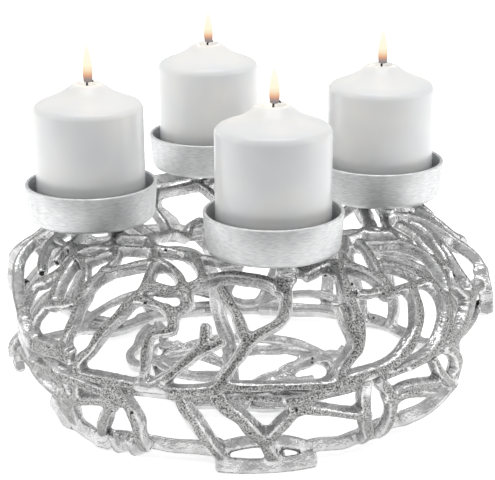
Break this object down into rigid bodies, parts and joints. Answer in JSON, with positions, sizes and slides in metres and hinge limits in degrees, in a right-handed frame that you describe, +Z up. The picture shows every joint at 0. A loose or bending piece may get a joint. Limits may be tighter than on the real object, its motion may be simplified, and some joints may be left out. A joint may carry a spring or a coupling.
{
  "type": "metal advent wreath",
  "caption": "Openwork ring of cast aluminium twigs with turned candle cups and white pillar candles, a table wreath that stands on its own foot ring",
  "frame": {"origin": "on the floor plane, under the middle of the ring", "axes": "+Z up out of the hole of the wreath, -Y towards the side with the thick foot plate and the front cup, +X to the right of that side"},
  "size_m": [0.3758, 0.365, 0.2564],
  "materials": {
    "cast_aluminium": "sand-cast, rough and faintly sparkling on the outer faces, smoother at the sides",
    "turned_aluminium": "turned and brushed round the cup",
    "wax": "smooth pearl white wax with a soft sheen",
    "wick": "charred cotton"
  },
  "bodies": {
    "root": {"dome_twigs_1": "cast_aluminium", "dome_twigs_2": "cast_aluminium", "dome_twigs_3": "cast_aluminium", "dome_twigs_4": "cast_aluminium", "dome_twigs_5": "cast_aluminium", "dome_twigs_6": "cast_aluminium", "dome_twigs_7": "cast_aluminium", "dome_twigs_8": "cast_aluminium", "skirt_twigs_1": "cast_aluminium", "skirt_twigs_2": "cast_aluminium", "skirt_twigs_3": "cast_aluminium", "skirt_twigs_4": "cast_aluminium", "skirt_twigs_5": "cast_aluminium", "skirt_twigs_6": "cast_aluminium", "skirt_twigs_7": "cast_aluminium", "skirt_twigs_8": "cast_aluminium", "hole_twigs_1": "cast_aluminium", "hole_twigs_2": "cast_aluminium", "hole_twigs_3": "cast_aluminium", "hole_twigs_4": "cast_aluminium", "hole_twigs_5": "cast_aluminium", "hole_twigs_6": "cast_aluminium", "hole_twigs_7": "cast_aluminium", "hole_twigs_8": "cast_aluminium", "candle_cup_1": "turned_aluminium", "candle_1": "wax", "wick_1": "wick", "candle_cup_2": "turned_aluminium", "candle_2": "wax", "wick_2": "wick", "candle_cup_3": "turned_aluminium", "candle_3": "wax", "wick_3": "wick", "candle_cup_4": "turned_aluminium", "candle_4": "wax", "wick_4": "wick"}
  },
  "joints": []
}
